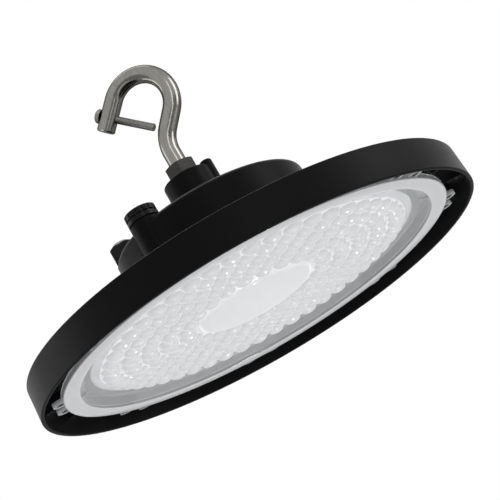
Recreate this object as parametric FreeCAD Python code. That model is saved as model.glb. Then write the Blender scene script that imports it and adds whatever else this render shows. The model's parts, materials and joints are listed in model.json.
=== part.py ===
import FreeCAD, Part
import math
import os

# High bay light, in millimetres. The origin is the centre of the rim's lower edge, +Z runs up
# the lamp's axis to the hook, and the light shines down.

Vector = FreeCAD.Vector
up = Vector(0, 0, 1)

# ---- Driving dimensions ----

# Rim: the thin cast skirt around the lamp, drawn in a little towards its top.
rim_radius = 150.0
rim_height = 21.7
rim_wall = 2.5
rim_draft = 0.9
rim_rounding = 0.8

# Lens: a flange with the light field set back inside it, and domes over the LEDs.
lens_face = 4.5
rim_gap = 16.5
flange_width = 11.0
flange_thickness = 3.5
flange_rounding = 0.8
field_setback = 5.4
field_slope = 5.5
lens_wall = 2.0
centre_disc_margin = 11.0
centre_disc_drop = 2.5
centre_disc_slope = 2.5
dome_ring_count = 5
dome_ring_step = 13.0
dome_margin = 17.0
dome_pitch = 13.1
dome_group = 6
dome_base_radius = 6.3
dome_tip_radius = 3.3
dome_height = 3.9
dome_side_count = 8

# Ears: pairs of lobes around the flange, a little behind its face, one sunk screw in each.
ear_count = 8
ear_angle = 8.0
ear_spread = 3.8
ear_overhang = 1.5
ear_lobe_radius = 5.0
ear_setback = 1.0
ear_pocket_depth = 1.6
ear_boss_radius = 4.2

# Sealing and LED stack, from the lens up.
gasket_thickness = 4.0
gasket_width = 6.0
gasket_margin = 3.3
led_gap = 0.3
led_size = 3.0
led_height = 0.7
board_thickness = 1.6
board_edge_gap = 5.0
pad_thickness = 0.5
pad_edge_gap = 2.0
spreader_thickness = 2.5
seat_width = 10.9
stack_edge_gap = 1.0

# Deck, fins and driver chamber of the cast housing.
deck_inset = 1.1
deck_thickness = 3.0
deck_ledge = 7.5
chamber_radius = 65.5
chamber_height = 69.2
chamber_wall = 3.0
chamber_roof = 3.5
chamber_rounding = 4.0
fin_count = 24
fin_thickness = 2.2
fin_root_height = 18.0
fin_knee_margin = 24.4
fin_knee_height = 5.0
fin_end_drop = 0.6

# Hook boss and the stop post beside it.
boss_radius = 16.5
boss_height = 30.3
boss_rounding = 1.2
post_radius = 4.2
post_offset = 15.2
post_height = 34.3
post_rounding = 1.4

# Hook: a bent round bar, screwed into the boss and locked by a nut.
hook_bar = 12.0
hook_plane_angle = -12.76
hook_depth = 26.0
hook_bend_start = 10.1
hook_neck_radius = 23.6
hook_neck_angle = 42.64
hook_neck_length = 11.3
hook_bow_radius = 20.8
hook_bow_angle = 177.18
hook_leg_length = 21.8
hook_end_chamfer = 0.8
nut_flats = 19.0
nut_height = 10.0
nut_chamfer = 1.4

# Safety screw across the hook's mouth.
safety_screw_size = 5.0
safety_screw_setback = 9.4
safety_screw_reach = 33.2
safety_head_radius = 4.8
safety_head_height = 3.4
safety_spot_depth = 0.4
safety_socket = 3.0

# Cable gland, upright near the edge of the chamber roof.
gland_angle = 176.0
gland_inset = 8.0
gland_boss_radius = 8.8
gland_boss_rise = 2.0
gland_thread_radius = 6.0
gland_flats = 15.5
gland_washer_thickness = 1.0
gland_washer_overhang = 0.5
gland_base_height = 3.6
gland_neck_radius = 6.2
gland_neck_height = 3.6
gland_nut_gap = 0.3
gland_nut_height = 9.5
gland_nut_slope = 2.6
gland_nut_mouth = 3.8
gland_nut_lip = 1.4
gland_bore_radius = 3.6
gland_cord_radius = 2.6
gland_thread_length = 8.5

# Setting port: a round boss in the chamber wall, closed by a fluted screw plug.
port_angle = 234.3
port_inset = 7.2
port_boss_radius = 10.2
port_boss_rise = 1.8
port_thread_radius = 7.0
port_depth = 7.0
port_seal_thickness = 0.9
port_seal_width = 1.9
plug_radius = 10.2
plug_flange_height = 2.9
plug_groove_height = 0.8
plug_groove_depth = 0.9
plug_crown_height = 3.9
plug_flute_count = 14
plug_flute_radius = 1.1
plug_spigot_length = 5.5

# Driver: a round board hung from cast pillars in the chamber.
pillar_count = 4
pillar_margin = 10.0
pillar_angle = 45.0
pillar_radius = 4.0
driver_board_gap = 4.0
driver_clearance = 14.4
capacitor_radius = 8.0
capacitor_height = 25.0
small_capacitor_radius = 5.0
small_capacitor_height = 16.0
capacitor_places = [(-10.0, -32.0), (12.0, 26.0)]
small_capacitor_places = [(-16.0, -12.0), (41.0, 16.0), (30.0, 18.0)]
transformer_width = 28.0
transformer_depth = 22.0
transformer_height = 24.0
transformer_winding_radius = 12.0
transformer_yoke = 5.0
transformer_limb = 4.0
transformer_place = (12.0, -8.0)
choke_radius = 9.0
choke_hole_radius = 3.6
choke_height = 10.0
choke_place = (-12.0, 26.0)
sink_length = 30.0
sink_width = 14.0
sink_height = 26.0
sink_sheet = 2.0
sink_place = (40.0, -8.0)
terminal_length = 24.0
terminal_width = 14.0
terminal_height = 12.0
terminal_way_count = 3
terminal_hole_radius = 1.8
terminal_place = (-38.0, 0.0)
varistor_radius = 6.0
varistor_thickness = 4.0
varistor_place = (-30.0, 24.0)
insulator_thickness = 0.5
insulator_edge_gap = 1.0
earth_pad_radius = 4.5
earth_pad_height = 6.0
earth_pad_margin = 12.5
earth_pad_angle = 100.0

# Leads from the driver to the LED board.
lead_radius = 1.0
lead_spacing = 4.0
lead_offset = 20.0
lead_angle = 330.0
lead_hole_radius = 4.5
grommet_bore_gap = 0.3

# Screws.
screw_radius = 1.5
screw_head_radius = 2.8
screw_head_height = 1.5
screw_socket = 2.0
lens_screw_length = 12.0
board_screw_inset = 2.0
board_screw_angle = 18.0
board_screw_count = 4
spreader_screw_margin = 30.5
spreader_screw_count = 8
spreader_screw_angle = 14.5
driver_screw_length = 8.0
earth_screw_length = 5.0

# Fits.
thread_fit = 0.1
hole_clearance = 0.2

# ---- Heights and radii that follow ----

gasket_face = lens_face + flange_thickness
seat_face = gasket_face + gasket_thickness
field_face = lens_face + field_setback
field_back = field_face + lens_wall
led_face = field_back + led_gap
board_face = led_face + led_height
board_back = board_face + board_thickness
spreader_face = board_back + pad_thickness
deck_face = spreader_face + spreader_thickness
deck_top = deck_face + deck_thickness
flange_radius = rim_radius - rim_gap
flange_inner_radius = flange_radius - flange_width
field_radius = flange_inner_radius - field_slope
dome_outer_radius = field_radius - dome_margin
dome_inner_radius = dome_outer_radius - (dome_ring_count - 1) * dome_ring_step
centre_disc_radius = dome_inner_radius - centre_disc_margin
ear_centre_radius = flange_radius + ear_overhang
deck_radius = flange_radius - deck_inset
seat_inner_radius = deck_radius - seat_width
fin_knee_radius = deck_radius - fin_knee_margin
board_radius = field_radius - board_edge_gap
spreader_radius = seat_inner_radius - stack_edge_gap
spreader_screw_radius = spreader_radius - spreader_screw_margin
board_screw_radius = centre_disc_radius - board_screw_inset
cavity_radius = chamber_radius - chamber_wall
deck_opening_radius = chamber_radius - deck_ledge
driver_board_radius = deck_opening_radius - driver_board_gap
pillar_offset = driver_board_radius - pillar_margin
earth_pad_offset = cavity_radius - earth_pad_margin
gland_offset = chamber_radius - gland_inset
port_offset = chamber_radius - port_inset
ceiling = chamber_height - chamber_roof
boss_top = chamber_height + boss_height
driver_board_face = deck_face + driver_clearance
driver_board_back = driver_board_face + board_thickness
port_top = chamber_height + port_boss_rise


# ---- Shaping helpers ----

def outline(corners):
    # A closed wire in the XZ plane. A corner is (x, z), or (x, z, rounding radius).
    count = len(corners)
    ends = []
    for index, corner in enumerate(corners):
        here = Vector(corner[0], 0, corner[1])
        rounding = corner[2] if len(corner) > 2 else 0
        if rounding == 0:
            ends.append((here, here, None))
            continue
        before = Vector(corners[index - 1][0], 0, corners[index - 1][1]) - here
        after = Vector(corners[(index + 1) % count][0], 0, corners[(index + 1) % count][1]) - here
        before.normalize()
        after.normalize()
        half = before.getAngle(after) / 2
        reach = rounding / math.tan(half)
        middle = (before + after).normalize()
        crest = here + middle * (rounding / math.sin(half) - rounding)
        ends.append((here + before * reach, here + after * reach, crest))
    edges = []
    for index, (start, end, crest) in enumerate(ends):
        if crest is not None:
            edges.append(Part.Arc(start, crest, end).toShape())
        following = ends[(index + 1) % count][0]
        if end.distanceToPoint(following) > 1e-6:
            edges.append(Part.makeLine(end, following))
    return Part.Wire(edges)


def turned(corners):
    # A body of revolution about Z.
    return Part.Face(outline(corners)).revolve(Vector(0, 0, 0), up, 360)


def plate(corners, thickness):
    # An upright plate in the XZ plane, centred on it.
    face = Part.Face(outline(corners))
    face.translate(Vector(0, -thickness / 2, 0))
    return face.extrude(Vector(0, thickness, 0))


def rod(radius, bottom, top, x=0.0, y=0.0):
    return Part.makeCylinder(radius, top - bottom, Vector(x, y, bottom))


def ring(outer, inner, bottom, top, x=0.0, y=0.0):
    return rod(outer, bottom, top, x, y).cut(rod(inner, bottom, top, x, y))


def block(length, width, height, x, y, bottom, angle=0.0):
    # A box centred on x and y, turned about its own upright axis.
    box = Part.makeBox(length, width, height, Vector(-length / 2, -width / 2, 0))
    box.rotate(Vector(0, 0, 0), up, angle)
    box.translate(Vector(x, y, bottom))
    return box


def polygon_prism(sides, radius, bottom, top, angle=0.0):
    points = [polar(radius, angle + 360 * index / sides, bottom) for index in range(sides)]
    return Part.Face(Part.makePolygon(points + points[:1])).extrude(up * (top - bottom))


def frustum(sides, low_radius, low, high_radius, high):
    # A flat-sided taper, flats facing the axes.
    angles = evenly(sides, 180 / sides)
    lower = [polar(low_radius, angle, low) for angle in angles]
    upper = [polar(high_radius, angle, high) for angle in angles]
    rings = [lower, upper] + [[lower[index - 1], lower[index], upper[index], upper[index - 1]]
                              for index in range(sides)]
    faces = [Part.Face(Part.makePolygon(ring_points + ring_points[:1])) for ring_points in rings]
    return Part.Solid(Part.Shell(faces))


def polar(radius, angle, height=0.0):
    turn = math.radians(angle)
    return Vector(radius * math.cos(turn), radius * math.sin(turn), height)


def placed(shape, angle=0.0, position=Vector(0, 0, 0)):
    # A copy, turned about Z and then moved.
    copy = shape.copy()
    copy.rotate(Vector(0, 0, 0), up, angle)
    copy.translate(position)
    return copy


def around(shape, angles):
    # Copies turned about the lamp's axis.
    return [placed(shape, angle) for angle in angles]


def evenly(count, start=0.0):
    return [start + 360 * index / count for index in range(count)]


def hexagon(flats, bottom, top, chamfer):
    # A hexagonal nut blank with its corners turned off at both ends, one corner towards -Y.
    corner = flats / math.sqrt(3)
    drop = chamfer / 2
    envelope = turned([(0, bottom), (corner - chamfer, bottom), (corner, bottom + drop), (corner, top - drop),
                       (corner - chamfer, top), (0, top)])
    return polygon_prism(6, corner, bottom, top, 30).common(envelope)


def pan_screw(length, underside):
    # A socket pan-head screw, head down, its seat at the given height.
    head = turned([(0, underside - screw_head_height), (screw_head_radius, underside - screw_head_height, 0.6),
                   (screw_head_radius, underside), (0, underside)])
    socket = polygon_prism(6, screw_socket / math.sqrt(3), underside - screw_head_height,
                           underside - screw_head_height / 3)
    return head.fuse(rod(screw_radius, underside, underside + length)).cut(socket)


def joined(shapes):
    return shapes[0].multiFuse(shapes[1:]).removeSplitter()


def ear_angles():
    return [angle + side * ear_spread for angle in evenly(ear_count, ear_angle) for side in (-1, 1)]


def led_places():
    # Radius and angle of every LED, ring by ring from the outside in.
    places = []
    for index in range(dome_ring_count):
        radius = dome_outer_radius - index * dome_ring_step
        count = dome_group * round(2 * math.pi * radius / dome_pitch / dome_group)
        places += [(radius, angle) for angle in evenly(count)]
    return places


# ---- Cast housing ----

def housing():
    top_radius = rim_radius - rim_draft
    rim = turned([(rim_radius, 0, rim_rounding), (top_radius, rim_height, rim_rounding),
                  (top_radius - rim_wall, rim_height, rim_rounding), (rim_radius - rim_wall, 0, rim_rounding)])
    deck = turned([(deck_opening_radius, deck_face), (seat_inner_radius, deck_face), (seat_inner_radius, seat_face),
                   (deck_radius, seat_face), (deck_radius, deck_top, 1), (chamber_radius, deck_top, 2),
                   (chamber_radius, chamber_height, chamber_rounding), (0, chamber_height), (0, ceiling),
                   (cavity_radius, ceiling, 2), (cavity_radius, deck_top), (deck_opening_radius, deck_top)])
    fin = plate([(cavity_radius + 1, deck_top - 1), (cavity_radius + 1, deck_top + fin_root_height),
                 (fin_knee_radius, deck_top + fin_knee_height),
                 (top_radius - rim_wall / 2, rim_height - fin_end_drop),
                 (top_radius - rim_wall / 2, seat_face), (deck_radius - 1, seat_face),
                 (deck_radius - 1, deck_top - 1)], fin_thickness)
    fins = around(fin, evenly(fin_count, ear_angle + 180 / fin_count))
    hook_boss = turned([(0, ceiling), (boss_radius, ceiling), (boss_radius, boss_top, boss_rounding), (0, boss_top)])
    post = turned([(0, ceiling), (post_radius, ceiling), (post_radius, chamber_height + post_height, post_rounding),
                   (0, chamber_height + post_height)])
    port_place = polar(port_offset, port_angle)
    inlet_place = gland_place()
    inlet_top = chamber_height + gland_boss_rise
    side_bosses = [rod(port_boss_radius, deck_top, port_top, port_place.x, port_place.y),
                   rod(gland_boss_radius, deck_top, inlet_top, inlet_place.x, inlet_place.y)]
    chamber_space = rod(cavity_radius, deck_top, ceiling)
    port_well = rod(port_boss_radius, port_top - port_depth - chamber_wall, port_top, port_place.x, port_place.y)
    side_bosses = [boss.cut(chamber_space) for boss in side_bosses] + [port_well]
    ear_boss = rod(ear_boss_radius, gasket_face, deck_top, ear_centre_radius)
    pillars = [rod(pillar_radius, driver_board_back, ceiling + 1, p.x, p.y)
               for p in (polar(pillar_offset, angle) for angle in evenly(pillar_count, pillar_angle))]
    earth_place = polar(earth_pad_offset, earth_pad_angle)
    earth_pad = rod(earth_pad_radius, ceiling - earth_pad_height, ceiling + 1, earth_place.x, earth_place.y)
    body = joined([deck, rim, hook_boss, placed(post, 0, Vector(post_offset, 0, 0)), earth_pad]
                  + side_bosses + fins + pillars + around(ear_boss, ear_angles()))

    tapped = screw_radius + thread_fit
    ear_hole = rod(tapped, gasket_face, gasket_face + lens_screw_length, ear_centre_radius)
    spreader_hole = rod(tapped, deck_face, deck_top, spreader_screw_radius)
    pillar_hole = rod(tapped, driver_board_back, driver_board_back + driver_screw_length, pillar_offset)
    holes = around(ear_hole, ear_angles())
    holes += around(spreader_hole, evenly(spreader_screw_count, spreader_screw_angle))
    holes += around(pillar_hole, evenly(pillar_count, pillar_angle))
    holes.append(rod(tapped, ceiling - earth_pad_height, ceiling - earth_pad_height + earth_screw_length,
                     earth_place.x, earth_place.y))
    holes.append(rod(hook_bar / 2 + thread_fit, boss_top - hook_depth, boss_top))
    gland_end = gland_levels()[0] - gland_thread_length
    holes.append(rod(gland_thread_radius + thread_fit, gland_end - hole_clearance, inlet_top, inlet_place.x,
                     inlet_place.y))
    holes.append(rod(port_thread_radius + thread_fit, port_top - port_depth, port_top, port_place.x, port_place.y))
    return body.cut(Part.makeCompound(holes))


# ---- Lens and its seal ----

def lens():
    slope = math.hypot(flange_inner_radius - field_radius, field_setback)
    over = lens_wall * (slope - (flange_inner_radius - field_radius)) / field_setback
    disc_face = field_face - centre_disc_drop
    disc_edge = centre_disc_radius + centre_disc_slope
    shell = turned([(0, disc_face), (centre_disc_radius, disc_face, 1.5), (disc_edge, field_face, 1),
                    (field_radius, field_face), (flange_inner_radius, lens_face, 1),
                    (flange_radius, lens_face, flange_rounding), (flange_radius, gasket_face),
                    (flange_inner_radius + over, gasket_face), (field_radius + over, field_back),
                    (disc_edge, field_back), (centre_disc_radius, disc_face + lens_wall), (0, disc_face + lens_wall)])
    dome = frustum(dome_side_count, dome_tip_radius, field_face - dome_height, dome_base_radius, field_face)
    domes = [placed(dome, angle, polar(radius, angle)) for radius, angle in led_places()]
    lobe_face = lens_face + ear_setback
    lobe = rod(ear_lobe_radius, lobe_face, gasket_face, ear_centre_radius)
    inward = flange_radius - flange_width / 2
    lobe = lobe.fuse(block(ear_centre_radius - inward, 2 * ear_lobe_radius, flange_thickness - ear_setback,
                           (ear_centre_radius + inward) / 2, 0, lobe_face))
    body = shell.multiFuse(domes + around(lobe, ear_angles())).removeSplitter()
    hole = rod(screw_radius + hole_clearance, lobe_face, gasket_face, ear_centre_radius)
    sink = rod(screw_head_radius + hole_clearance, lobe_face, lobe_face + ear_pocket_depth, ear_centre_radius)
    return body.cut(Part.makeCompound(around(hole, ear_angles()) + around(sink, ear_angles())))


def lens_gasket():
    outer = flange_radius - gasket_margin
    return ring(outer, outer - gasket_width, gasket_face, seat_face)


def lens_screws():
    seat = lens_face + ear_setback + ear_pocket_depth
    screw = placed(pan_screw(lens_screw_length, seat), 0, Vector(ear_centre_radius, 0, 0))
    return Part.makeCompound(around(screw, ear_angles()))


# ---- LED stack ----

def pierced(disc, bottom, top, with_screws):
    # Cuts the lead hole, and the clearance holes of the LED board's screws.
    place = polar(lead_offset, lead_angle)
    cuts = [rod(lead_hole_radius, bottom, top, place.x, place.y)]
    if with_screws:
        hole = rod(screw_radius + hole_clearance, bottom, top, board_screw_radius)
        cuts += around(hole, evenly(board_screw_count, board_screw_angle))
    return disc.cut(Part.makeCompound(cuts))


def led_board():
    disc = rod(board_radius, board_face, board_back)
    hole = rod(screw_radius + hole_clearance, board_face, board_back, board_screw_radius)
    return disc.cut(Part.makeCompound(around(hole, evenly(board_screw_count, board_screw_angle))))


def leds():
    chip = Part.makeBox(led_size, led_size, led_height, Vector(-led_size / 2, -led_size / 2, led_face))
    return Part.makeCompound([placed(chip, angle, polar(radius, angle)) for radius, angle in led_places()])


def thermal_pad():
    return pierced(rod(board_radius - pad_edge_gap, board_back, spreader_face), board_back, spreader_face, True)


def heat_spreader():
    disc = pierced(rod(spreader_radius, spreader_face, deck_face), spreader_face, deck_face, False)
    tapped = rod(screw_radius + thread_fit, spreader_face, deck_face, board_screw_radius)
    sunk = sunk_screw(deck_face - spreader_face, hole_clearance)
    cuts = around(tapped, evenly(board_screw_count, board_screw_angle))
    cuts += around(placed(sunk, 0, Vector(spreader_screw_radius, 0, 0)),
                   evenly(spreader_screw_count, spreader_screw_angle))
    return disc.cut(Part.makeCompound(cuts))


def sunk_screw(length, growth=0.0):
    # A countersunk screw, head flush with the spreader's lower face.
    head = screw_head_radius + growth
    shank = screw_radius + growth
    return turned([(0, spreader_face), (head, spreader_face), (shank, spreader_face + head - shank),
                   (shank, spreader_face + length), (0, spreader_face + length)])


def spreader_screws():
    screw = placed(sunk_screw(spreader_thickness + deck_thickness), 0, Vector(spreader_screw_radius, 0, 0))
    return Part.makeCompound(around(screw, evenly(spreader_screw_count, spreader_screw_angle)))


def board_screws():
    screw = placed(pan_screw(deck_face - board_face, board_face), 0, Vector(board_screw_radius, 0, 0))
    return Part.makeCompound(around(screw, evenly(board_screw_count, board_screw_angle)))


def insulating_sheet():
    disc = rod(deck_opening_radius - insulator_edge_gap, deck_face, deck_face + insulator_thickness)
    return pierced(disc, deck_face, deck_face + insulator_thickness, False)


def lead_grommet():
    place = polar(lead_offset, lead_angle)
    body = ring(lead_hole_radius, lead_spacing / 2 + lead_radius + grommet_bore_gap, board_back,
                deck_face + insulator_thickness, place.x, place.y)
    lip = ring(lead_hole_radius + 1, lead_spacing / 2 + lead_radius + grommet_bore_gap,
               deck_face + insulator_thickness, deck_face + insulator_thickness + 1, place.x, place.y)
    return body.fuse(lip).removeSplitter()


def led_leads():
    place = polar(lead_offset, lead_angle)
    return Part.makeCompound([rod(lead_radius, board_back, driver_board_face, place.x + side * lead_spacing / 2,
                                  place.y) for side in (-1, 1)])


# ---- Driver ----

def driver_board():
    disc = rod(driver_board_radius, driver_board_face, driver_board_back)
    hole = rod(screw_radius + hole_clearance, driver_board_face, driver_board_back, pillar_offset)
    return disc.cut(Part.makeCompound(around(hole, evenly(pillar_count, pillar_angle))))


def driver_screws():
    length = board_thickness + driver_screw_length
    screw = placed(pan_screw(length, driver_board_face), 0, Vector(pillar_offset, 0, 0))
    return Part.makeCompound(around(screw, evenly(pillar_count, pillar_angle)))


def transformer():
    x, y = transformer_place
    core = block(transformer_width, transformer_depth, transformer_height, x, y, driver_board_back)
    low = driver_board_back + transformer_yoke
    high = driver_board_back + transformer_height - transformer_yoke
    window = block(transformer_width - 2 * transformer_limb, transformer_depth, high - low, x, y, low)
    winding = rod(transformer_winding_radius, low, high, x, y)
    return core.cut(window).fuse(winding).removeSplitter()


def filter_choke():
    x, y = choke_place
    return ring(choke_radius, choke_hole_radius, driver_board_back, driver_board_back + choke_height, x, y)


def capacitors():
    cans = [rod(capacitor_radius, driver_board_back, driver_board_back + capacitor_height, x, y)
            for x, y in capacitor_places]
    cans += [rod(small_capacitor_radius, driver_board_back, driver_board_back + small_capacitor_height, x, y)
             for x, y in small_capacitor_places]
    return Part.makeCompound(cans)


def driver_heat_sink():
    # A folded angle of sheet, standing on its foot.
    x, y = sink_place
    back = block(sink_sheet, sink_length, sink_height, x, y, driver_board_back)
    foot_x = x - (sink_width - sink_sheet) / 2
    foot = block(sink_width, sink_length, sink_sheet, foot_x, y, driver_board_back)
    return back.fuse(foot).removeSplitter()


def terminal_block():
    x, y = terminal_place
    body = block(terminal_width, terminal_length, terminal_height, x, y, driver_board_back)
    step = terminal_length / terminal_way_count
    centres = [y + (index - (terminal_way_count - 1) / 2) * step for index in range(terminal_way_count)]
    top = driver_board_back + terminal_height
    wells = [rod(terminal_hole_radius, top - terminal_height / 2, top, x, centre) for centre in centres]
    return body.cut(Part.makeCompound(wells))


def varistor():
    x, y = varistor_place
    centre = Vector(x, y - varistor_thickness / 2, driver_board_back + varistor_radius)
    disc = Part.makeCylinder(varistor_radius, varistor_thickness, centre, Vector(0, 1, 0))
    foot = block(varistor_radius, varistor_thickness, varistor_radius, x, y, driver_board_back)
    return disc.fuse(foot).removeSplitter()


def earth_screw():
    place = polar(earth_pad_offset, earth_pad_angle)
    return placed(pan_screw(earth_screw_length, ceiling - earth_pad_height), 0, place)


# ---- Cable gland ----

def gland_place():
    return polar(gland_offset, gland_angle)


def gland_levels():
    base = chamber_height + gland_boss_rise + gland_washer_thickness
    neck = base + gland_base_height
    return base, neck, neck + gland_nut_gap


def gland_washer():
    base, neck, nut = gland_levels()
    place = gland_place()
    outer = gland_flats / 2 + gland_washer_overhang
    return ring(outer, gland_thread_radius + hole_clearance, base - gland_washer_thickness, base, place.x, place.y)


def gland_body():
    base, neck, nut = gland_levels()
    bottom = base - gland_thread_length
    shank = rod(gland_thread_radius, bottom, base)
    collar = rod(gland_neck_radius, neck, neck + gland_neck_height)
    body = joined([hexagon(gland_flats, base, neck, 0.9), shank, collar])
    return placed(body.cut(rod(gland_bore_radius, bottom, neck + gland_neck_height)), 0, gland_place())


def gland_dome_nut():
    base, neck, nut = gland_levels()
    top = nut + gland_nut_height
    corner = gland_flats / math.sqrt(3)
    dome = turned([(0, nut), (corner, nut), (corner, top - gland_nut_slope, 1.5),
                   (gland_nut_mouth + gland_nut_lip, top, 0.6), (0, top)])
    inner = gland_neck_radius + thread_fit
    hollow = turned([(0, nut), (inner, nut), (inner, top - 2 * gland_nut_lip),
                     (gland_nut_mouth, top - gland_nut_lip), (gland_nut_mouth, top), (0, top)])
    return placed(polygon_prism(6, corner, nut, top, 30).common(dome).cut(hollow), 0, gland_place())


def gland_seal():
    base, neck, nut = gland_levels()
    place = gland_place()
    return ring(gland_neck_radius, gland_cord_radius, neck + gland_neck_height,
                nut + gland_nut_height - 2 * gland_nut_lip, place.x, place.y)


# ---- Setting port ----

def port_seal():
    place = polar(port_offset, port_angle)
    return ring(port_thread_radius + port_seal_width, port_thread_radius + thread_fit, port_top,
                port_top + port_seal_thickness, place.x, place.y)


def port_plug():
    flange = port_top + port_seal_thickness
    groove = flange + plug_flange_height
    crown = groove + plug_groove_height
    top = crown + plug_crown_height
    waist = plug_radius - plug_groove_depth
    body = turned([(0, port_top - plug_spigot_length), (port_thread_radius, port_top - plug_spigot_length, 0.8),
                   (port_thread_radius, flange), (plug_radius, flange, 0.4), (plug_radius, groove, 0.3),
                   (waist, groove), (waist, crown), (plug_radius, crown, 0.3), (plug_radius, top, 0.8), (0, top)])
    flute = rod(plug_flute_radius, crown, top, plug_radius + plug_flute_radius / 3)
    body = body.cut(Part.makeCompound(around(flute, evenly(plug_flute_count))))
    return placed(body, port_angle, polar(port_offset, port_angle))


# ---- Hook ----

def hook_path():
    # Centre line in the XZ plane: up the shank, out over the neck, back round the bow, down the leg.
    height = boss_top + nut_height + hook_bend_start
    start = Vector(0, 0, boss_top - hook_depth)
    bend = Vector(0, 0, height)
    edges = [Part.makeLine(start, bend)]
    heading = 90.0
    here = bend
    for radius, sweep, side, run in ((hook_neck_radius, hook_neck_angle, -1, hook_neck_length),
                                     (hook_bow_radius, hook_bow_angle, 1, hook_leg_length)):
        centre = here + along(heading + 90 * side) * radius
        middle = centre - along(heading + 90 * side + side * sweep / 2) * radius
        finish = centre - along(heading + 90 * side + side * sweep) * radius
        edges.append(Part.Arc(here, middle, finish).toShape())
        heading += side * sweep
        here = finish + along(heading) * run
        edges.append(Part.makeLine(finish, here))
    return edges, here, heading


def along(heading):
    turn = math.radians(heading)
    return Vector(math.cos(turn), 0, math.sin(turn))


def safety_axis():
    # Point on the leg's centre line where the safety screw crosses, and the screw's direction.
    edges, end, heading = hook_path()
    return end - along(heading) * safety_screw_setback, along(heading + 90)


def hook():
    edges, end, heading = hook_path()
    section = Part.Wire(Part.makeCircle(hook_bar / 2, Vector(0, 0, boss_top - hook_depth), up))
    bar = Part.Wire(edges).makePipeShell([section], True, False)
    crossing, across = safety_axis()
    hole = Part.makeCylinder(safety_screw_size / 2 + thread_fit, hook_bar + 2, crossing - across * (hook_bar / 2 + 1),
                             across)
    seat = crossing - across * (hook_bar / 2 - safety_spot_depth)
    spot = Part.makeCylinder(safety_head_radius + hole_clearance, 3, seat - across * 3, across)
    end_edge = min(bar.Edges, key=lambda edge: edge.CenterOfMass.distanceToPoint(end))
    bar = bar.makeChamfer(hook_end_chamfer, [end_edge])
    bar = bar.cut(hole).cut(spot)
    return placed(bar, hook_plane_angle)


def hook_nut():
    nut = hexagon(nut_flats, boss_top, boss_top + nut_height, nut_chamfer)
    return nut.cut(rod(hook_bar / 2 + thread_fit, boss_top, boss_top + nut_height))


def safety_screw():
    crossing, across = safety_axis()
    seat = hook_bar / 2 - safety_spot_depth
    half = safety_screw_size / 2
    profile = turned([(0, -seat - safety_head_height), (safety_head_radius, -seat - safety_head_height, 1.6),
                      (safety_head_radius, -seat), (half, -seat), (half, safety_screw_reach, 0.9),
                      (0, safety_screw_reach)])
    socket = polygon_prism(6, safety_socket / math.sqrt(3), -seat - safety_head_height,
                           -seat - safety_head_height * 0.4)
    screw = profile.cut(socket)
    screw.rotate(Vector(0, 0, 0), Vector(0, 1, 0), math.degrees(math.atan2(across.x, across.z)))
    screw.translate(crossing)
    return placed(screw, hook_plane_angle)


# ---- Export ----

parts = {
    "housing": housing, "lens": lens, "lens_gasket": lens_gasket, "lens_screws": lens_screws,
    "led_board": led_board, "leds": leds, "thermal_pad": thermal_pad, "heat_spreader": heat_spreader,
    "spreader_screws": spreader_screws, "led_board_screws": board_screws, "insulating_sheet": insulating_sheet,
    "lead_grommet": lead_grommet, "led_leads": led_leads, "driver_board": driver_board,
    "driver_board_screws": driver_screws, "transformer": transformer, "filter_choke": filter_choke,
    "capacitors": capacitors, "driver_heat_sink": driver_heat_sink, "terminal_block": terminal_block,
    "varistor": varistor, "earth_screw": earth_screw, "gland_washer": gland_washer, "gland_body": gland_body,
    "gland_dome_nut": gland_dome_nut, "gland_seal": gland_seal,
    "port_seal": port_seal, "port_plug": port_plug, "hook": hook, "hook_nut": hook_nut,
    "safety_screw": safety_screw,
}

os.makedirs("parts", exist_ok=True)
for name, make in parts.items():
    make().exportStep("parts/" + name + ".step")
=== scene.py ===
# High bay light: dresses the solids, models the lens and the hook anew, and sets up the studio.
import bpy
import json
import math
from mathutils import Matrix, Vector

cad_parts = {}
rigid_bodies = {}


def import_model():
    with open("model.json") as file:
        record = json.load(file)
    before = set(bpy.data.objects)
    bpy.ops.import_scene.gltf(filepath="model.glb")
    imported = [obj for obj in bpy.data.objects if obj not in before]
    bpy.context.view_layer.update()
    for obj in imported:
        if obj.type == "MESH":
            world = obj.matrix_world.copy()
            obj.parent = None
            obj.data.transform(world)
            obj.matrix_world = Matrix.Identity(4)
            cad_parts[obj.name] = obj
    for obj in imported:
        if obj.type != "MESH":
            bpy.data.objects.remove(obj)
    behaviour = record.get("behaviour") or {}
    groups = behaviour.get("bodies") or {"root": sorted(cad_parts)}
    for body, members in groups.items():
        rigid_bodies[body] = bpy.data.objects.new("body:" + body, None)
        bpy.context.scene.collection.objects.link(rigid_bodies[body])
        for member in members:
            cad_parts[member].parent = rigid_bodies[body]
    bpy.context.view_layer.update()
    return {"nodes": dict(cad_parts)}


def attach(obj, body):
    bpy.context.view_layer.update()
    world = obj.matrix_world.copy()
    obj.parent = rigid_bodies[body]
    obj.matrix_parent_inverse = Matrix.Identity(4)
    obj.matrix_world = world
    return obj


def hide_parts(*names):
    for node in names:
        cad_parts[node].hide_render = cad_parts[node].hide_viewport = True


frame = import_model()
print("frame loaded")

tiny = 1e-5  # lengths closer than this count as equal
level = 0.9  # a face counts as lying flat when its normal rises or falls by more than this


def deselectAll():
    if bpy.context.object and bpy.context.object.mode == "EDIT":
        bpy.ops.object.mode_set(mode="OBJECT")
    bpy.ops.object.select_all(action="DESELECT")


def activate(piece):
    deselectAll()
    piece.select_set(True)
    bpy.context.view_layer.objects.active = piece


def settle(piece):
    # place, turn and size go into the mesh
    activate(piece)
    bpy.ops.object.transform_apply(location=True, rotation=True, scale=True)


def smooth(piece, angle):
    activate(piece)
    bpy.ops.object.shade_smooth_by_angle(angle=math.radians(angle))


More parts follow.
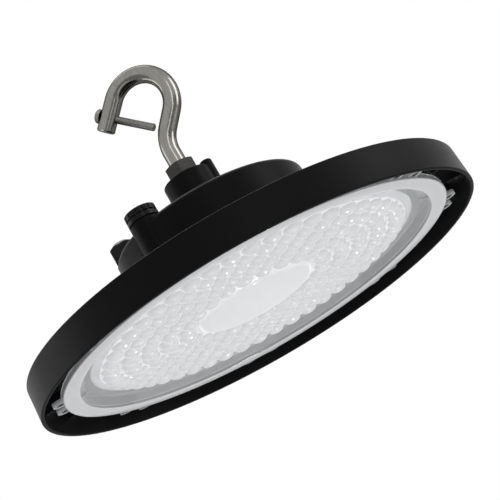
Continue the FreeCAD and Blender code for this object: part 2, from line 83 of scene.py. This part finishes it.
def pickFaces(piece, test):
    # selects the faces whose centre and normal pass the test, and leaves edit mode on
    activate(piece)
    bpy.ops.object.mode_set(mode="EDIT")
    bpy.ops.mesh.select_mode(type="FACE")
    bpy.ops.mesh.select_all(action="DESELECT")
    bpy.ops.object.mode_set(mode="OBJECT")
    for face in piece.data.polygons:
        face.select = test(face.center, face.normal)
    bpy.ops.object.mode_set(mode="EDIT")


def pickEdges(piece, test):
    # selects the edges whose two ends pass the test together, and leaves edit mode on
    activate(piece)
    bpy.ops.object.mode_set(mode="EDIT")
    bpy.ops.mesh.select_mode(type="EDGE")
    bpy.ops.mesh.select_all(action="DESELECT")
    bpy.ops.object.mode_set(mode="OBJECT")
    points = piece.data.vertices
    for edge in piece.data.edges:
        first, second = edge.vertices
        edge.select = test(points[first].co, points[second].co)
    bpy.ops.object.mode_set(mode="EDIT")


def looksUp(centre, normal):
    return normal.z > level


def looksDown(centre, normal):
    return normal.z < -level


def reach(point):
    # distance from the lamp's axis
    return math.hypot(point.x, point.y)


def stepIn(radius, newRadius, rise):
    # the picked round face is extruded straight up or down by rise and brought to a new radius
    bpy.ops.mesh.extrude_region_move(TRANSFORM_OT_translate={"value": (0, 0, rise)})
    share = newRadius / radius
    bpy.ops.transform.resize(value=(share, share, 1), center_override=(0, 0, 0))


def join(pieces, name):
    deselectAll()
    for piece in pieces:
        piece.select_set(True)
    bpy.context.view_layer.objects.active = pieces[0]
    bpy.ops.object.join()
    pieces[0].name = name
    return pieces[0]


def combine(piece, other, operation):
    # UNION grows the piece by the other into one closed skin, DIFFERENCE cuts the other out of it
    activate(piece)
    step = piece.modifiers.new("step", "BOOLEAN")
    step.operation = operation
    step.solver = "EXACT"
    step.object = other
    bpy.ops.object.modifier_apply(modifier="step")
    bpy.data.objects.remove(other)


def copyTurned(piece, angle, x, y):
    copy = piece.copy()
    copy.data = piece.data.copy()
    bpy.context.collection.objects.link(copy)
    copy.matrix_world = Matrix.Translation((x, y, 0)) @ Matrix.Rotation(angle, 4, "Z")
    return copy


def makeGroup(name, inputs, outputs):
    group = bpy.data.node_groups.new(name, "ShaderNodeTree")
    for label, kind, value in inputs:
        socket = group.interface.new_socket(label, in_out="INPUT", socket_type=kind)
        socket.default_value = value
    for label, kind in outputs:
        group.interface.new_socket(label, in_out="OUTPUT", socket_type=kind)
    return group, group.nodes.new("NodeGroupInput"), group.nodes.new("NodeGroupOutput")


grainFacts = {"detail": 2, "patchScale": 24, "bumpDistance": 0.0004, "spread": 0.12}


def makeCastGrain(facts):
    # fine orange peel of powder coat and moulded plastic
    group, given, result = makeGroup(
        "castGrain",
        [("Scale", "NodeSocketFloat", 900.0), ("Depth", "NodeSocketFloat", 0.1),
         ("Roughness", "NodeSocketFloat", 0.5)],
        [("Normal", "NodeSocketVector"), ("Roughness", "NodeSocketFloat")])
    place = group.nodes.new("ShaderNodeTexCoord")
    grain = group.nodes.new("ShaderNodeTexNoise")
    grain.inputs["Detail"].default_value = facts["detail"]
    patches = group.nodes.new("ShaderNodeTexNoise")
    patches.inputs["Scale"].default_value = facts["patchScale"]
    bump = group.nodes.new("ShaderNodeBump")
    bump.inputs["Distance"].default_value = facts["bumpDistance"]
    spread = group.nodes.new("ShaderNodeMath")
    spread.operation = "MULTIPLY_ADD"
    spread.inputs[1].default_value = facts["spread"]
    link = group.links.new
    link(place.outputs["Object"], grain.inputs["Vector"])
    link(place.outputs["Object"], patches.inputs["Vector"])
    link(given.outputs["Scale"], grain.inputs["Scale"])
    link(given.outputs["Depth"], bump.inputs["Strength"])
    link(grain.outputs["Fac"], bump.inputs["Height"])
    link(patches.outputs["Fac"], spread.inputs[0])
    link(given.outputs["Roughness"], spread.inputs[2])
    link(bump.outputs["Normal"], result.inputs["Normal"])
    link(spread.outputs["Value"], result.inputs["Roughness"])
    return group


brushingFacts = {"detail": 3, "bumpDistance": 0.0002, "spread": 0.04}


def makeBrushing(facts):
    # fine lines left by drawing and polishing metal
    group, given, result = makeGroup(
        "brushing",
        [("Across", "NodeSocketVector", (900.0, 900.0, 60.0)), ("Roughness", "NodeSocketFloat", 0.25),
         ("Depth", "NodeSocketFloat", 0.05)],
        [("Normal", "NodeSocketVector"), ("Roughness", "NodeSocketFloat"), ("Shade", "NodeSocketFloat")])
    place = group.nodes.new("ShaderNodeTexCoord")
    stretch = group.nodes.new("ShaderNodeVectorMath")
    stretch.operation = "MULTIPLY"
    lines = group.nodes.new("ShaderNodeTexNoise")
    lines.inputs["Scale"].default_value = 1
    lines.inputs["Detail"].default_value = facts["detail"]
    bump = group.nodes.new("ShaderNodeBump")
    bump.inputs["Distance"].default_value = facts["bumpDistance"]
    spread = group.nodes.new("ShaderNodeMath")
    spread.operation = "MULTIPLY_ADD"
    spread.inputs[1].default_value = facts["spread"]
    link = group.links.new
    link(place.outputs["Object"], stretch.inputs[0])
    link(given.outputs["Across"], stretch.inputs[1])
    link(stretch.outputs["Vector"], lines.inputs["Vector"])
    link(lines.outputs["Fac"], bump.inputs["Height"])
    link(given.outputs["Depth"], bump.inputs["Strength"])
    link(lines.outputs["Fac"], spread.inputs[0])
    link(given.outputs["Roughness"], spread.inputs[2])
    link(bump.outputs["Normal"], result.inputs["Normal"])
    link(spread.outputs["Value"], result.inputs["Roughness"])
    link(lines.outputs["Fac"], result.inputs["Shade"])
    return group


def makeMouldRipple():
    # faint waves of a moulded clear surface
    group, given, result = makeGroup(
        "mouldRipple",
        [("Scale", "NodeSocketFloat", 160.0), ("Depth", "NodeSocketFloat", 0.03),
         ("Distance", "NodeSocketFloat", 0.0005)],
        [("Normal", "NodeSocketVector")])
    place = group.nodes.new("ShaderNodeTexCoord")
    ripple = group.nodes.new("ShaderNodeTexNoise")
    bump = group.nodes.new("ShaderNodeBump")
    link = group.links.new
    link(place.outputs["Object"], ripple.inputs["Vector"])
    link(given.outputs["Scale"], ripple.inputs["Scale"])
    link(given.outputs["Depth"], bump.inputs["Strength"])
    link(given.outputs["Distance"], bump.inputs["Distance"])
    link(ripple.outputs["Fac"], bump.inputs["Height"])
    link(bump.outputs["Normal"], result.inputs["Normal"])
    return group


castGrain = makeCastGrain(grainFacts)
brushing = makeBrushing(brushingFacts)
mouldRipple = makeMouldRipple()


def startMaterial(name, colour, settings):
    material = bpy.data.materials.new(name)
    material.use_nodes = True
    shader = material.node_tree.nodes["Principled BSDF"]
    shader.inputs["Base Color"].default_value = (*colour, 1)
    for socket, value in settings.items():
        shader.inputs[socket].default_value = value
    return material, shader


def addEffect(tree, group, values):
    effect = tree.nodes.new("ShaderNodeGroup")
    effect.node_tree = group
    for socket, value in values.items():
        effect.inputs[socket].default_value = value
    return effect


def grained(name, colour, roughness, scale, depth, gloss=0.5):
    # roughness is the mean, which the patches spread round
    material, shader = startMaterial(name, colour, {"Specular IOR Level": gloss})
    tree = material.node_tree
    effect = addEffect(tree, castGrain, {
        "Scale": scale, "Depth": depth, "Roughness": roughness - grainFacts["spread"] / 2})
    tree.links.new(effect.outputs["Normal"], shader.inputs["Normal"])
    tree.links.new(effect.outputs["Roughness"], shader.inputs["Roughness"])
    return material


def brushed(name, dark, light, roughness, across, depth=0.05, rim=1):
    # rim is painted shade: it darkens what the metal mirrors at a slant
    material, shader = startMaterial(name, light, {"Metallic": 1.0, "Specular Tint": (rim, rim, rim, 1)})
    tree = material.node_tree
    effect = addEffect(tree, brushing, {
        "Across": across, "Roughness": roughness - brushingFacts["spread"] / 2, "Depth": depth})
    tint = tree.nodes.new("ShaderNodeMix")
    tint.data_type = "RGBA"
    tint.inputs["A"].default_value = (*dark, 1)
    tint.inputs["B"].default_value = (*light, 1)
    tree.links.new(effect.outputs["Shade"], tint.inputs["Factor"])
    tree.links.new(tint.outputs["Result"], shader.inputs["Base Color"])
    tree.links.new(effect.outputs["Normal"], shader.inputs["Normal"])
    tree.links.new(effect.outputs["Roughness"], shader.inputs["Roughness"])
    return material


finishes = {
    "blackCasting": grained("blackCasting", (0.0055, 0.0055, 0.006), 0.4, 1100, 0.12, 0.05),
    "blackNylon": grained("blackNylon", (0.005, 0.005, 0.0055), 0.3, 1500, 0.08, 0.12),
    "blackRubber": grained("blackRubber", (0.02, 0.02, 0.02), 0.7, 700, 0.15, 0.2),
    "blackScrew": grained("blackScrew", (0.012, 0.012, 0.012), 0.3, 1500, 0.05),
    "whiteBoard": grained("whiteBoard", (0.84, 0.85, 0.84), 0.5, 600, 0.04),
    "whiteFilm": grained("whiteFilm", (0.8, 0.8, 0.78), 0.5, 300, 0.05),
    "greyPad": grained("greyPad", (0.38, 0.4, 0.43), 0.8, 400, 0.2),
    "phosphor": grained("phosphor", (0.86, 0.72, 0.3), 0.5, 2500, 0.1),
    "greenBoard": grained("greenBoard", (0.02, 0.12, 0.05), 0.35, 500, 0.08),
    "ferrite": grained("ferrite", (0.04, 0.04, 0.045), 0.6, 900, 0.2),
    "canSleeve": grained("canSleeve", (0.02, 0.03, 0.07), 0.25, 300, 0.04),
    "whiteNylon": grained("whiteNylon", (0.7, 0.7, 0.68), 0.45, 900, 0.08),
    "blueEpoxy": grained("blueEpoxy", (0.02, 0.07, 0.35), 0.25, 400, 0.12),
    "redLead": grained("redLead", (0.45, 0.02, 0.015), 0.4, 900, 0.05),
    "bareAluminium": brushed("bareAluminium", (0.6, 0.61, 0.62), (0.75, 0.76, 0.77), 0.35, (900, 40, 900)),
    "zincScrew": brushed("zincScrew", (0.5, 0.51, 0.5), (0.7, 0.7, 0.68), 0.35, (700, 700, 700)),
    # painted shade: the hook's steel is kept darker than bare steel, its streaks partly grain and partly
    # painted reflection
    "hookSteel": brushed(
        "hookSteel", (0.18, 0.175, 0.16), (0.31, 0.302, 0.28), 0.2, (700, 700, 120), 0.02, 0.1),
    # painted shade: the nut is the same stainless as the safety screw, made several times darker
    "shadedNutSteel": brushed(
        "shadedNutSteel", (0.03, 0.0295, 0.0275), (0.055, 0.0535, 0.051), 0.34, (260, 260, 1200), 0.05, 0.3),
}


threadFacts = {"pitch": 0.0008, "tilt": math.radians(134.56), "turn": math.radians(-12.76),
               "strength": 0.7, "bumpDistance": 0.0002}


def makeThreadedSteel(facts):
    # plain steel with the fine ridges of a thread along the safety screw
    # its dark Specular Tint is painted shade on what the steel mirrors at a slant
    material, shader = startMaterial("threadedSteel", (0.3, 0.293, 0.275), {
        "Metallic": 1.0, "Roughness": 0.28, "Specular Tint": (0.1, 0.1, 0.1, 1)})
    tree = material.node_tree
    place = tree.nodes.new("ShaderNodeTexCoord")
    along = tree.nodes.new("ShaderNodeVectorMath")
    along.operation = "DOT_PRODUCT"
    sideways = math.sin(facts["tilt"])
    along.inputs[1].default_value = (sideways * math.cos(facts["turn"]), sideways * math.sin(facts["turn"]),
                                     math.cos(facts["tilt"]))
    wave = tree.nodes.new("ShaderNodeMath")
    wave.operation = "MULTIPLY"
    wave.inputs[1].default_value = 2 * math.pi / facts["pitch"]
    ridge = tree.nodes.new("ShaderNodeMath")
    ridge.operation = "SINE"
    bump = tree.nodes.new("ShaderNodeBump")
    bump.inputs["Strength"].default_value = facts["strength"]
    bump.inputs["Distance"].default_value = facts["bumpDistance"]
    link = tree.links.new
    link(place.outputs["Object"], along.inputs[0])
    link(along.outputs["Value"], wave.inputs[0])
    link(wave.outputs["Value"], ridge.inputs[0])
    link(ridge.outputs["Value"], bump.inputs["Height"])
    link(bump.outputs["Normal"], shader.inputs["Normal"])
    return material


# the emission settings below paint a glow onto the lens, which is no lamp
lensPlastic = {
    "index": 1.5, "scatterDepth": 0.012, "paintedGlowColour": (0.97, 0.98, 1, 1), "paintedGlow": 0.43,
    "shadowTint": (0.93, 0.94, 0.94, 1), "rippleScale": 160, "rippleDepth": 0.03,
}


def lensMaterial(name, colour, transmission, roughness, frostAndPaintedGlow=0):
    # frosting scatters light inside the plastic, and the same level scales a painted glow: an emission
    # that stands for the lit board behind, though the lens is no lamp; shadow rays pass, so that the board
    # is lit through the lens
    material, shader = startMaterial(name, colour, {
        "Roughness": roughness, "IOR": lensPlastic["index"], "Transmission Weight": transmission,
        "Subsurface Weight": frostAndPaintedGlow, "Subsurface Radius": (1, 1, 1),
        "Subsurface Scale": lensPlastic["scatterDepth"],
        "Emission Color": lensPlastic["paintedGlowColour"], "Emission Strength": lensPlastic["paintedGlow"] * frostAndPaintedGlow})
    tree = material.node_tree
    clear = tree.nodes.new("ShaderNodeBsdfTransparent")
    clear.inputs["Color"].default_value = lensPlastic["shadowTint"]
    rays = tree.nodes.new("ShaderNodeLightPath")
    choose = tree.nodes.new("ShaderNodeMixShader")
    ripple = addEffect(tree, mouldRipple, {
        "Scale": lensPlastic["rippleScale"], "Depth": lensPlastic["rippleDepth"]})
    link = tree.links.new
    link(ripple.outputs["Normal"], shader.inputs["Normal"])
    link(rays.outputs["Is Shadow Ray"], choose.inputs["Fac"])
    link(shader.outputs["BSDF"], choose.inputs[1])
    link(clear.outputs["BSDF"], choose.inputs[2])
    link(choose.outputs["Shader"], tree.nodes["Material Output"].inputs["Surface"])
    return material


finishes["threadedSteel"] = makeThreadedSteel(threadFacts)
finishes["clearLens"] = lensMaterial("clearLens", (0.86, 0.89, 0.9), 0.9, 0.04)
# milky, satin and hazy each carry a painted glow in step with their frosting, strongest on the milky field
finishes["milkyLens"] = lensMaterial("milkyLens", (0.17, 0.171, 0.172), 0.1, 0.06, 1)
finishes["satinLens"] = lensMaterial("satinLens", (0.25, 0.252, 0.255), 0.25, 0.07, 0.72)
finishes["hazyLens"] = lensMaterial("hazyLens", (0.55, 0.56, 0.57), 0.8, 0.05, 0.18)
print("finishes made")


def dress(piece, finish):
    piece.data.materials.clear()
    piece.data.materials.append(finishes[finish])


skinFacts = {"mergeDistance": 0.000002, "smoothAngle": 30}


def smoothCopy(node, finish):
    # the solid's own mesh, merged and smoothed, stands in for it
    source = frame["nodes"][node]
    piece = source.copy()
    piece.data = source.data.copy()
    piece.name = node + "Skin"
    bpy.context.collection.objects.link(piece)
    activate(piece)
    bpy.ops.object.parent_clear(type="CLEAR_KEEP_TRANSFORM")
    bpy.ops.object.transform_apply(location=True, rotation=True, scale=True)
    bpy.ops.object.mode_set(mode="EDIT")
    bpy.ops.mesh.select_all(action="SELECT")
    bpy.ops.mesh.remove_doubles(threshold=skinFacts["mergeDistance"])
    bpy.ops.mesh.customdata_custom_splitnormals_clear()
    bpy.ops.object.mode_set(mode="OBJECT")
    smooth(piece, skinFacts["smoothAngle"])
    dress(piece, finish)
    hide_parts(node)
    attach(piece, "root")


carried = {
    "leds": "phosphor", "led_board": "whiteBoard", "thermal_pad": "greyPad", "heat_spreader": "blackCasting",
    "spreader_screws": "zincScrew", "led_board_screws": "zincScrew", "insulating_sheet": "whiteFilm",
    "lead_grommet": "blackRubber", "led_leads": "redLead", "driver_board": "greenBoard",
    "driver_board_screws": "zincScrew", "transformer": "ferrite", "filter_choke": "ferrite",
    "capacitors": "canSleeve", "driver_heat_sink": "bareAluminium", "terminal_block": "whiteNylon",
    "varistor": "blueEpoxy", "earth_screw": "zincScrew", "gland_seal": "blackRubber",
    "port_seal": "blackRubber",
}
for node, finish in carried.items():
    dress(frame["nodes"][node], finish)

smoothed = {
    "housing": ("blackCasting", "black_casting"), "lens_gasket": ("blackRubber", "black_rubber"),
    "lens_screws": ("blackScrew", "black_screw"), "gland_washer": ("blackRubber", "black_rubber"),
    "gland_body": ("blackNylon", "black_nylon"), "gland_dome_nut": ("blackNylon", "black_nylon"),
    "port_plug": ("blackNylon", "black_nylon"),
    "hook_nut": ("shadedNutSteel", "brushed_stainless"), "safety_screw": ("threadedSteel", "brushed_stainless"),
}
for node, (finish, slotName) in smoothed.items():
    smoothCopy(node, finish)
print("solids dressed")


lensSizes = {
    "face": 0.0045, "flangeRadius": 0.1335, "flangeWidth": 0.011, "flangeThickness": 0.0035,
    "fieldSetback": 0.0054, "fieldRadius": 0.117, "wall": 0.002, "discRadius": 0.0395, "discDrop": 0.0025,
    "discSlope": 0.0025, "frostRadius": 0.1068, "edgeRounding": 0.0007, "edgeSegments": 3, "sides": 192,
    "backRootStep": 0.0011, "backFieldStep": 0.0012,  # how far the slope's back stands outside its front
    "domeRings": 5, "domeCircle": 0.1, "ringStep": 0.013, "domeCount": 48, "countStep": 6,
    "domeRadius": 0.0063, "domeHeight": 0.0039, "domeSink": 0.0006, "domeSides": 14, "domeRows": 8,
    "earPairs": 8, "earAngle": 8, "earSpread": 3.8, "earCircle": 0.135, "earRadius": 0.005,
    "earSetback": 0.001, "earRoot": 0.0035, "earSides": 32, "pocketRadius": 0.003, "pocketDepth": 0.0016,
    "smoothAngle": 32,
}


def lensPlate(sizes):
    # the flange is a disc; the set-back field is pushed into it from both sides
    flange = sizes["flangeRadius"]
    inner = flange - sizes["flangeWidth"]
    back = sizes["face"] + sizes["flangeThickness"]
    bpy.ops.mesh.primitive_cylinder_add(vertices=sizes["sides"], radius=flange,
                                        depth=sizes["flangeThickness"],
                                        location=(0, 0, (sizes["face"] + back) / 2))
    plate = bpy.context.object
    settle(plate)
    fieldFace = sizes["face"] + sizes["fieldSetback"]
    fieldBack = fieldFace + sizes["wall"]
    pickFaces(plate, looksUp)
    backInner = inner + sizes["backRootStep"]
    backField = sizes["fieldRadius"] + sizes["backFieldStep"]
    bpy.ops.mesh.inset(thickness=flange - backInner)
    stepIn(backInner, backField, fieldBack - back)
    bpy.ops.mesh.inset(thickness=backField - sizes["discRadius"])
    stepIn(sizes["discRadius"], sizes["discRadius"] - sizes["discSlope"], -sizes["discDrop"])
    pickFaces(plate, looksDown)
    bpy.ops.mesh.inset(thickness=flange - inner)
    stepIn(inner, sizes["fieldRadius"], sizes["fieldSetback"])
    bpy.ops.mesh.inset(thickness=sizes["fieldRadius"] - sizes["frostRadius"])
    bpy.ops.mesh.inset(thickness=sizes["frostRadius"] - sizes["discRadius"])
    stepIn(sizes["discRadius"], sizes["discRadius"] - sizes["discSlope"], -sizes["discDrop"])
    discFace = fieldFace - sizes["discDrop"]
    discEdge = sizes["discRadius"] - sizes["discSlope"]

    def onRoundedPart(point):
        # the flange's face out to both its edges, and the edge of the centre disc
        onFlange = abs(point.z - sizes["face"]) < tiny and reach(point) > inner - 10 * tiny
        onDisc = abs(point.z - discFace) < tiny and abs(reach(point) - discEdge) < 10 * tiny
        return onFlange or onDisc

    pickEdges(plate, lambda first, second: onRoundedPart(first) and onRoundedPart(second))
    bpy.ops.mesh.bevel(offset=sizes["edgeRounding"], segments=sizes["edgeSegments"], affect="EDGES")
    bpy.ops.object.mode_set(mode="OBJECT")
    return plate


def oneDome(sizes):
    # half a flattened ball, its open side closed just inside the plate
    fieldFace = sizes["face"] + sizes["fieldSetback"]
    bpy.ops.mesh.primitive_uv_sphere_add(segments=sizes["domeSides"], ring_count=sizes["domeRows"],
                                         radius=sizes["domeRadius"])
    dome = bpy.context.object
    bpy.ops.object.mode_set(mode="EDIT")
    bpy.ops.mesh.select_all(action="SELECT")
    bpy.ops.mesh.bisect(plane_co=(0, 0, tiny), plane_no=(0, 0, 1), clear_outer=True, use_fill=False)
    bpy.ops.object.mode_set(mode="OBJECT")
    pickEdges(dome, lambda first, second: min(first.z, second.z) > -tiny)
    bpy.ops.mesh.extrude_region_move(TRANSFORM_OT_translate={"value": (0, 0, sizes["domeSink"])})
    bpy.ops.mesh.edge_face_add()
    bpy.ops.mesh.select_all(action="SELECT")
    bpy.ops.mesh.normals_make_consistent(inside=False)
    bpy.ops.object.mode_set(mode="OBJECT")
    for point in dome.data.vertices:
        if point.co.z < 0:
            point.co.z *= sizes["domeHeight"] / sizes["domeRadius"]
    dome.location.z = fieldFace
    settle(dome)
    return dome


def oneEar(sizes):
    # a round lug with a flat root, and a pocket for its screw
    low = sizes["face"] + sizes["earSetback"]
    high = sizes["face"] + sizes["flangeThickness"]
    bpy.ops.mesh.primitive_cylinder_add(vertices=sizes["earSides"], radius=sizes["earRadius"],
                                        depth=high - low, location=(0, 0, (low + high) / 2))
    ear = bpy.context.object
    settle(ear)
    pickFaces(ear, looksDown)
    bpy.ops.mesh.inset(thickness=sizes["earRadius"] - sizes["pocketRadius"])
    bpy.ops.mesh.extrude_region_move(TRANSFORM_OT_translate={"value": (0, 0, sizes["pocketDepth"])})
    pickFaces(ear, lambda centre, normal: abs(normal.z) < 0.1 and centre.x < -sizes["earRoot"])
    bpy.ops.mesh.extrude_region_move(TRANSFORM_OT_translate={"value": (-sizes["earRoot"], 0, 0)})
    bpy.ops.object.mode_set(mode="OBJECT")
    return ear


def finishFaces(plate, sizes):
    # the back stays clear; the face is milky over the domes, satin on the flange and hazy elsewhere, each
    # with its share of painted glow
    clear, milky, satin, hazy = range(4)
    flangeEdge = sizes["flangeRadius"] - sizes["edgeRounding"]
    flangeRoot = sizes["flangeRadius"] - sizes["flangeWidth"]
    backLean = 0.2  # faces that lean up further than this belong to the back
    for face in plate.data.polygons:
        away = reach(face.center)
        if face.normal.z > backLean:
            face.material_index = clear
        elif away < sizes["frostRadius"]:
            face.material_index = milky
        elif flangeRoot < away < flangeEdge:
            face.material_index = satin
        else:
            face.material_index = hazy


def buildLens(sizes):
    plate = lensPlate(sizes)
    dome = oneDome(sizes)
    domes = []
    for ring in range(sizes["domeRings"]):
        count = sizes["domeCount"] - ring * sizes["countStep"]
        circle = sizes["domeCircle"] - ring * sizes["ringStep"]
        for index in range(count):
            angle = 2 * math.pi * index / count
            domes.append(copyTurned(dome, angle, circle * math.cos(angle), circle * math.sin(angle)))
    bpy.data.objects.remove(dome)
    ear = oneEar(sizes)
    ears = []
    for pair in range(sizes["earPairs"]):
        middle = 360 * pair / sizes["earPairs"] + sizes["earAngle"]
        for side in (-1, 1):
            angle = math.radians(middle + side * sizes["earSpread"])
            ears.append(copyTurned(ear, angle, sizes["earCircle"] * math.cos(angle),
                                   sizes["earCircle"] * math.sin(angle)))
    bpy.data.objects.remove(ear)
    grown = join(domes + ears, "lensGrowth")
    settle(grown)
    combine(plate, grown, "UNION")
    plate.name = "clearLens"
    smooth(plate, sizes["smoothAngle"])
    dress(plate, "clearLens")
    for finish in ("milkyLens", "satinLens", "hazyLens"):
        plate.data.materials.append(finishes[finish])
    finishFaces(plate, sizes)
    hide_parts("lens")
    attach(plate, "root")


buildLens(lensSizes)
print("lens built")


hookSizes = {
    "barRadius": 0.006, "sides": 48, "foot": 0.0735, "firstBend": 0.1196, "planeAngle": -12.76,
    "bends": [  # side -1 bends the bar towards +X, side 1 towards -X
        {"radius": 0.0236, "sweep": 42.64, "side": -1, "steps": 20, "run": 0.0113},
        {"radius": 0.0208, "sweep": 177.18, "side": 1, "steps": 72, "run": 0.0218},
    ],
    "endChamfer": 0.0008, "screwSetback": 0.0094, "screwHole": 0.0026, "overshoot": 0.002,
    "headRadius": 0.005, "headSeat": 0.0056, "headDepth": 0.003, "holeSides": 48, "smoothAngle": 30,
}


def heading(angle):
    # a direction in the upright plane, from +X round to +Z
    return Vector((math.cos(math.radians(angle)), 0, math.sin(math.radians(angle))))


def sweepBar(sizes):
    # a round bar drawn up, then round each bend and straight on after it
    bpy.ops.mesh.primitive_circle_add(vertices=sizes["sides"], radius=sizes["barRadius"], fill_type="NGON",
                                      location=(0, 0, sizes["foot"]))
    bar = bpy.context.object
    settle(bar)
    bpy.ops.object.mode_set(mode="EDIT")
    bpy.ops.mesh.select_all(action="SELECT")
    bpy.ops.mesh.extrude_region_move(
        TRANSFORM_OT_translate={"value": (0, 0, sizes["firstBend"] - sizes["foot"])})
    end = Vector((0, 0, sizes["firstBend"]))
    way = 90
    for bend in sizes["bends"]:
        inward = heading(way + 90 * bend["side"])
        centre = end + inward * bend["radius"]
        bpy.ops.mesh.spin(steps=bend["steps"], angle=math.radians(bend["sweep"]), center=centre,
                          axis=(0, bend["side"], 0))
        way += bend["side"] * bend["sweep"]
        end = centre - heading(way + 90 * bend["side"]) * bend["radius"]
        bpy.ops.mesh.extrude_region_move(TRANSFORM_OT_translate={"value": heading(way) * bend["run"]})
        end = end + heading(way) * bend["run"]
    bpy.ops.mesh.select_all(action="SELECT")
    bpy.ops.mesh.normals_make_consistent(inside=False)

    def onEnd(point):
        return abs((point - end).dot(heading(way))) < tiny

    pickEdges(bar, lambda first, second: onEnd(first) and onEnd(second))
    bpy.ops.mesh.bevel(offset=sizes["endChamfer"], segments=1, affect="EDGES")
    bpy.ops.object.mode_set(mode="OBJECT")
    return bar, end, way


def drill(piece, radius, start, direction, depth, sides):
    # a round hole from the start point along the direction
    bpy.ops.mesh.primitive_cylinder_add(vertices=sides, radius=radius, depth=depth,
                                        location=start + direction * depth / 2,
                                        rotation=direction.to_track_quat("Z", "X").to_euler())
    drillBit = bpy.context.object
    settle(drillBit)
    combine(piece, drillBit, "DIFFERENCE")


def buildHook(sizes):
    bar, end, way = sweepBar(sizes)
    crossing = end - heading(way) * sizes["screwSetback"]
    across = heading(way + 90)
    length = 2 * sizes["barRadius"] + sizes["overshoot"]
    drill(bar, sizes["screwHole"], crossing - across * length / 2, across, length, sizes["holeSides"])
    drill(bar, sizes["headRadius"], crossing - across * sizes["headSeat"], -across, sizes["headDepth"],
          sizes["holeSides"])
    bar.name = "hookBar"
    bar.rotation_euler.z = math.radians(sizes["planeAngle"])
    settle(bar)
    smooth(bar, sizes["smoothAngle"])
    dress(bar, "hookSteel")
    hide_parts("hook")
    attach(bar, "root")


buildHook(hookSizes)
print("hook built")


studio = {
    "floorHeight": -1.6, "floorSize": 400.0, "floorColour": (0.9, 0.9, 0.9),
    "ambient": 0.55, "frontShade": 0.12, "shadeEdge": (-0.75, 0.1), "aim": (0, 0, 0.05),
    "lamps": [
        {"name": "leftBox", "place": (-1.3, 0.1, 0.15), "size": (0.5, 1.4), "power": 4},
        {"name": "rightBox", "place": (1.3, -0.25, 0.25), "size": (0.5, 1.4), "power": 8},
        {"name": "topBox", "place": (0.0, 0.5, 1.3), "size": (0.9, 0.9), "power": 6},
        {"name": "lowFill", "place": (0.1, -0.15, -0.54), "size": (1.6, 1.2), "power": 4.2},
        {"name": "hookStrip", "place": (0.45, -1.35, 0.25), "size": (0.16, 1.2), "power": 2.2},
        {"name": "discStrip", "place": (0.0, -0.15, -0.53), "size": (0.3, 0.02), "power": 0.2},
        {"name": "sparkle", "place": (0.05, 0.2, -0.5), "size": (0.05, 0.05), "power": 0.9},
    ],
}


def buildWorld(facts):
    # a pale room, darker on the side the viewer stands on;
    # where it is seen, mirrored or seen through, it is plain white
    world = bpy.data.worlds.new("studioWorld")
    bpy.context.scene.world = world
    world.use_nodes = True
    tree = world.node_tree
    link = tree.links.new
    room = tree.nodes["Background"]
    place = tree.nodes.new("ShaderNodeTexCoord")
    axes = tree.nodes.new("ShaderNodeSeparateXYZ")
    depth = tree.nodes.new("ShaderNodeMapRange")
    depth.interpolation_type = "SMOOTHSTEP"
    darkEnd, lightEnd = facts["shadeEdge"]
    depth.inputs["From Min"].default_value = darkEnd
    depth.inputs["From Max"].default_value = lightEnd
    depth.inputs["To Min"].default_value = facts["frontShade"]
    depth.inputs["To Max"].default_value = facts["ambient"]
    link(place.outputs["Generated"], axes.inputs["Vector"])
    link(axes.outputs["Y"], depth.inputs["Value"])
    link(depth.outputs["Result"], room.inputs["Strength"])
    white = tree.nodes.new("ShaderNodeBackground")
    rays = tree.nodes.new("ShaderNodeLightPath")
    seen = tree.nodes.new("ShaderNodeMath")
    seen.operation = "MAXIMUM"
    mirrored = tree.nodes.new("ShaderNodeMath")
    mirrored.operation = "MAXIMUM"
    choose = tree.nodes.new("ShaderNodeMixShader")
    room.inputs["Color"].default_value = (1, 1, 1, 1)
    white.inputs["Color"].default_value = (1, 1, 1, 1)
    link(rays.outputs["Is Camera Ray"], seen.inputs[0])
    link(rays.outputs["Is Transmission Ray"], seen.inputs[1])
    link(seen.outputs["Value"], mirrored.inputs[0])
    link(rays.outputs["Is Glossy Ray"], mirrored.inputs[1])
    link(mirrored.outputs["Value"], choose.inputs["Fac"])
    link(room.outputs["Background"], choose.inputs[1])
    link(white.outputs["Background"], choose.inputs[2])
    link(choose.outputs["Shader"], tree.nodes["World Output"].inputs["Surface"])


def buildStudio(facts):
    bpy.ops.mesh.primitive_plane_add(size=facts["floorSize"], location=(0, 0, facts["floorHeight"]))
    floor = bpy.context.object
    floor.name = "floor"
    material, shader = startMaterial("paleFloor", facts["floorColour"], {"Roughness": 0.9})
    floor.data.materials.append(material)
    buildWorld(facts)
    for lamp in facts["lamps"]:
        data = bpy.data.lights.new(lamp["name"], "AREA")
        data.shape = "RECTANGLE"
        data.size, data.size_y = lamp["size"]
        data.energy = lamp["power"]
        box = bpy.data.objects.new(lamp["name"], data)
        bpy.context.collection.objects.link(box)
        box.location = lamp["place"]
        box.rotation_euler = (Vector(facts["aim"]) - box.location).to_track_quat("-Z", "Y").to_euler()


view = {  # an elevation below zero looks up from beneath
    "lens": 101.16, "sensor": 36, "elevation": -16.18, "roll": -30.27, "distance": 0.862,
    "target": (0.0117, -0.01008, 0.03476),
}


def placeCamera(facts):
    data = bpy.data.cameras.new("camera")
    data.lens = facts["lens"]
    data.sensor_width = facts["sensor"]
    camera = bpy.data.objects.new("camera", data)
    bpy.context.collection.objects.link(camera)
    pitch = Matrix.Rotation(math.radians(90 - facts["elevation"]), 4, "X")
    turn = pitch @ Matrix.Rotation(math.radians(facts["roll"]), 4, "Z")
    back = turn.col[2].to_3d()
    camera.matrix_world = Matrix.Translation(Vector(facts["target"]) + back * facts["distance"]) @ turn
    bpy.context.scene.camera = camera


buildStudio(studio)
placeCamera(view)
bpy.context.scene.view_settings.view_transform = "Standard"
print("studio set")
